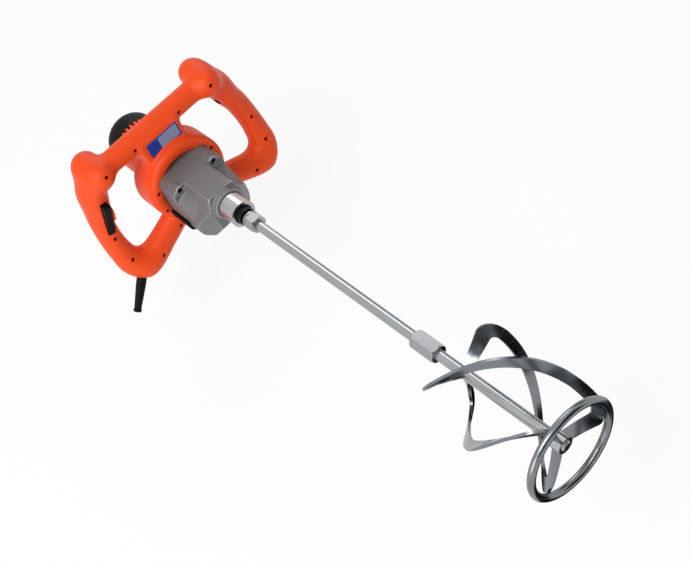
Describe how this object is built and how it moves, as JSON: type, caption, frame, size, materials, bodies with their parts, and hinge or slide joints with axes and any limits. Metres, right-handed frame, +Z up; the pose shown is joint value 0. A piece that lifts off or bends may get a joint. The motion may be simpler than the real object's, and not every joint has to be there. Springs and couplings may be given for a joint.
{
  "type": "mixing drill",
  "caption": "Hand-held mixing drill with a two-hand D-handle housing, a geared motor head, a clamping neck and a helical paddle with a base ring.",
  "frame": {"origin": "on the spindle axis, at the middle of the bright clamping neck in front of the gear case", "axes": "-Y along the spindle towards the paddle, +Y towards the motor cap, +Z up towards the top bar of the handle, +X towards the right grip seen from the paddle"},
  "size_m": [0.3226, 0.8624, 0.2404],
  "materials": {
    "orange_plastic": "moulded, satin",
    "black_plastic": "moulded, satin",
    "dark_screw": "blackened",
    "cast_case": "painted die casting",
    "bright_steel": "zinc plated",
    "bearing_steel": "ground",
    "black_steel": "blackened",
    "black_rubber": "matt",
    "lamination": "stacked sheet",
    "copper": "enamelled",
    "carbon": "pressed carbon"
  },
  "bodies": {
    "motor_head": {"front_housing": "orange_plastic", "rear_housing": "orange_plastic", "housing_screws": "dark_screw", "motor_cap": "black_plastic", "gear_case": "cast_case", "gear_case_screws": "dark_screw", "gear_plate": "cast_case", "bearing_plate": "cast_case", "air_baffle": "black_plastic", "spindle_neck": "bright_steel", "spindle_seal": "black_rubber", "spindle_front_bearing": "bearing_steel", "spindle_rear_bearing": "bearing_steel", "layshaft_front_bearing": "bearing_steel", "layshaft_rear_bearing": "bearing_steel", "armature_front_bearing": "bearing_steel", "armature_rear_bearing": "bearing_steel", "stator_core": "lamination", "field_coils": "copper", "rear_bracket": "cast_case", "carbon_brushes": "carbon", "brush_holders": "black_plastic", "switch_body": "black_plastic", "cable_boot": "black_rubber", "trigger_pin": "dark_screw"},
    "armature": {"armature_shaft": "bearing_steel", "armature_core": "lamination", "armature_windings": "copper", "commutator": "copper", "cooling_fan": "black_plastic"},
    "layshaft": {"layshaft": "bearing_steel", "layshaft_gear": "bearing_steel"},
    "paddle_shaft": {"spindle": "black_steel", "output_gear": "bearing_steel", "lock_washer": "bright_steel", "lock_nut": "bright_steel", "upper_rod": "bright_steel", "rod_coupling": "bright_steel", "lower_rod": "bright_steel", "hub_collar": "bright_steel", "blade_1": "bright_steel", "blade_2": "bright_steel", "blade_3": "bright_steel", "base_ring": "bright_steel"},
    "trigger": {"trigger": "black_plastic", "trigger_spring": "bearing_steel"},
    "lock_button": {"lock_button": "black_plastic"},
    "speed_dial": {"speed_dial": "black_plastic"}
  },
  "joints": [
    {"name": "spindle_spin", "type": "hinge", "parent": "motor_head", "child": "paddle_shaft", "pos_m": [0, 0, 0], "axis": [0, 1, 0], "continuous": true},
    {"name": "layshaft_spin", "type": "hinge", "parent": "motor_head", "child": "layshaft", "pos_m": [0.02154, 0.1, -0.01365], "axis": [0, 1, 0], "continuous": true},
    {"name": "armature_spin", "type": "hinge", "parent": "motor_head", "child": "armature", "pos_m": [0, 0.18, -0.012], "axis": [0, 1, 0], "continuous": true},
    {"name": "trigger_pull", "type": "hinge", "parent": "motor_head", "child": "trigger", "pos_m": [-0.12744, 0.1372, -0.00321], "axis": [-0.9654, 0, 0.2607], "range_deg": [0, 6], "stiffness_Nm_per_rad": 0.6, "deforming": ["trigger_spring"]},
    {"name": "lock_press", "type": "slide", "parent": "motor_head", "child": "lock_button", "axis": [0, -1, 0], "range_m": [0, 0.003], "stiffness_N_per_m": 400},
    {"name": "dial_turn", "type": "hinge", "parent": "motor_head", "child": "speed_dial", "pos_m": [0.1115, 0.1508, 0.032], "axis": [0, 1, 0], "range_deg": [0, 270]}
  ],
  "couplings": [
    {"joint": "layshaft_spin", "follows": "spindle_spin", "ratio": -2.7778},
    {"joint": "armature_spin", "follows": "spindle_spin", "ratio": 13.889}
  ]
}
